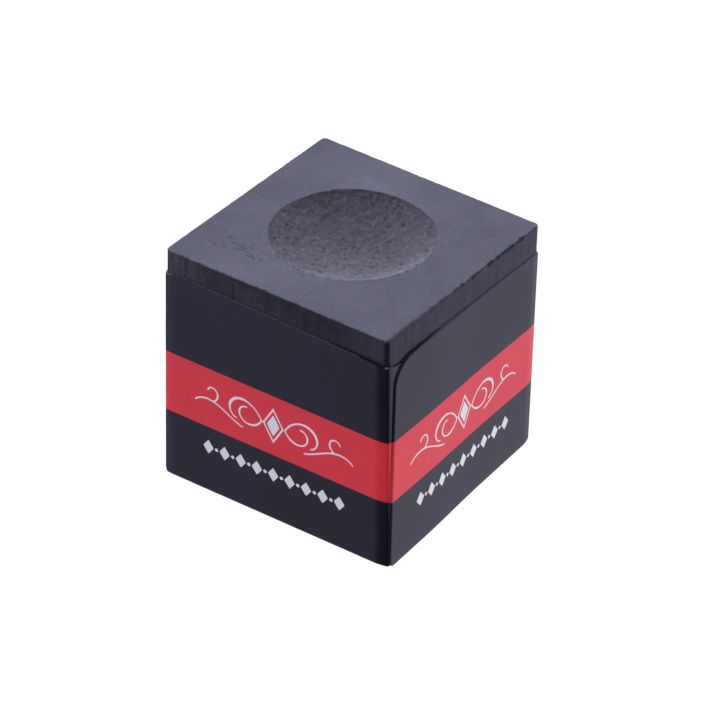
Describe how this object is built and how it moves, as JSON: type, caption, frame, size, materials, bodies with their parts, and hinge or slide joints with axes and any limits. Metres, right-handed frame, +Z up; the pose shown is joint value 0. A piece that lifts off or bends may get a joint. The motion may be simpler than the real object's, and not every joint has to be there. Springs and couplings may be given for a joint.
{
  "type": "cue chalk cube",
  "caption": "Cube of pressed cue chalk with a shallow tip dimple in its top, wrapped round the sides in a glossy printed paper label.",
  "frame": {"origin": "on the surface that the cube stands on, under the middle of the chalk block", "axes": "+Z up, out of the tip dimple; +X out of the side where the wrap label's end laps over its start, close to the -Y side; +Y away from the viewer"},
  "size_m": [0.0225, 0.022, 0.0222],
  "materials": {
    "chalk": "matte",
    "printed_paper": "gloss",
    "base_paper": "satin",
    "glue": "satin"
  },
  "bodies": {
    "root": {"chalk_block": "chalk", "wrap_glue": "glue", "wrap_label": "printed_paper", "lap_glue": "glue", "base_glue": "glue", "base_label": "base_paper"}
  },
  "joints": []
}
